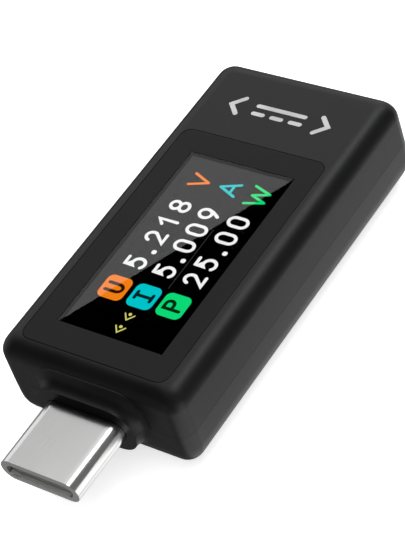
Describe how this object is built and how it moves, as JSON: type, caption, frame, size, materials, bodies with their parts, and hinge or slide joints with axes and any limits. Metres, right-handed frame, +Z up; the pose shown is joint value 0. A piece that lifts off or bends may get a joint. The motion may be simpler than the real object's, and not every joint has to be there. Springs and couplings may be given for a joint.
{
  "type": "usb power meter",
  "caption": "Inline USB-C power meter: flat black two-part housing with a colour display window on top, a metal plug at one end and a receptacle at the other.",
  "frame": {"origin": "centre of the bounding box's bottom face, on the underside of the bottom shell", "axes": "+Z up out of the display, +Y from the plug's tip towards the receptacle, +X across, so that the readout's lines run along +Y and their top is towards -X"},
  "size_m": [0.0194, 0.0462, 0.0094],
  "materials": {
    "housing_plastic": "fine satin moulded ABS/PC, near black",
    "panel_plastic": "fine matte plate, slightly darker than the housing",
    "window_glass": "clear glossy window",
    "adhesive_tape": "black double-sided tape",
    "lcd_glass": "black display glass",
    "tray_plastic": "white moulded tray",
    "guide_acrylic": "clear acrylic light guide",
    "flex_film": "amber polyimide film",
    "board_laminate": "green solder mask",
    "chip_epoxy": "black moulding compound",
    "crystal_can": "metal lid",
    "shunt_alloy": "resistive alloy",
    "ferrite": "grey ferrite",
    "capacitor_ceramic": "tan ceramic",
    "resistor_ceramic": "black glazed film on ceramic",
    "plated_steel": "nickel-plated stainless steel",
    "spring_steel": "spring steel",
    "contact_gold": "gold-plated copper alloy",
    "insulator_plastic": "black liquid-crystal polymer"
  },
  "bodies": {
    "housing": {"top_shell": "housing_plastic", "bottom_shell": "housing_plastic", "front_panel": "panel_plastic", "display_window": "window_glass", "panel_tape": "adhesive_tape", "lcd_cell": "lcd_glass", "backlight_frame": "tray_plastic", "light_guide": "guide_acrylic", "lcd_flex": "flex_film", "main_board": "board_laminate", "microcontroller": "chip_epoxy", "sense_amplifier": "chip_epoxy", "voltage_regulator": "chip_epoxy", "backlight_transistor": "chip_epoxy", "memory_chip": "chip_epoxy", "surge_suppressor": "chip_epoxy", "crystal": "crystal_can", "current_shunt": "shunt_alloy", "power_inductor": "ferrite", "plug_shell": "plated_steel", "plug_insulator": "insulator_plastic", "plug_contacts_upper": "contact_gold", "plug_contacts_lower": "contact_gold", "plug_ground_spring_upper": "spring_steel", "plug_ground_spring_lower": "spring_steel", "receptacle_shell": "plated_steel", "receptacle_body": "insulator_plastic", "receptacle_tongue_upper": "insulator_plastic", "receptacle_tongue_lower": "insulator_plastic", "receptacle_mid_plate": "spring_steel", "receptacle_contacts_upper": "contact_gold", "receptacle_contacts_lower": "contact_gold", "capacitor_1": "capacitor_ceramic", "capacitor_2": "capacitor_ceramic", "capacitor_3": "capacitor_ceramic", "capacitor_4": "capacitor_ceramic", "capacitor_5": "capacitor_ceramic", "capacitor_6": "capacitor_ceramic", "resistor_1": "resistor_ceramic", "resistor_2": "resistor_ceramic", "resistor_3": "resistor_ceramic", "resistor_4": "resistor_ceramic"},
    "left_latch": {"plug_latch_left": "spring_steel"},
    "right_latch": {"plug_latch_right": "spring_steel"}
  },
  "joints": [
    {"name": "left_latch_flex", "type": "hinge", "parent": "housing", "child": "left_latch", "pos_m": [-0.00353, -0.0163, 0.00473], "axis": [0, 0, -1], "range_deg": [0, 2.2], "stiffness_Nm_per_rad": 0.3},
    {"name": "right_latch_flex", "type": "hinge", "parent": "housing", "child": "right_latch", "pos_m": [0.00353, -0.0163, 0.00473], "axis": [0, 0, 1], "range_deg": [0, 2.2], "stiffness_Nm_per_rad": 0.3}
  ]
}
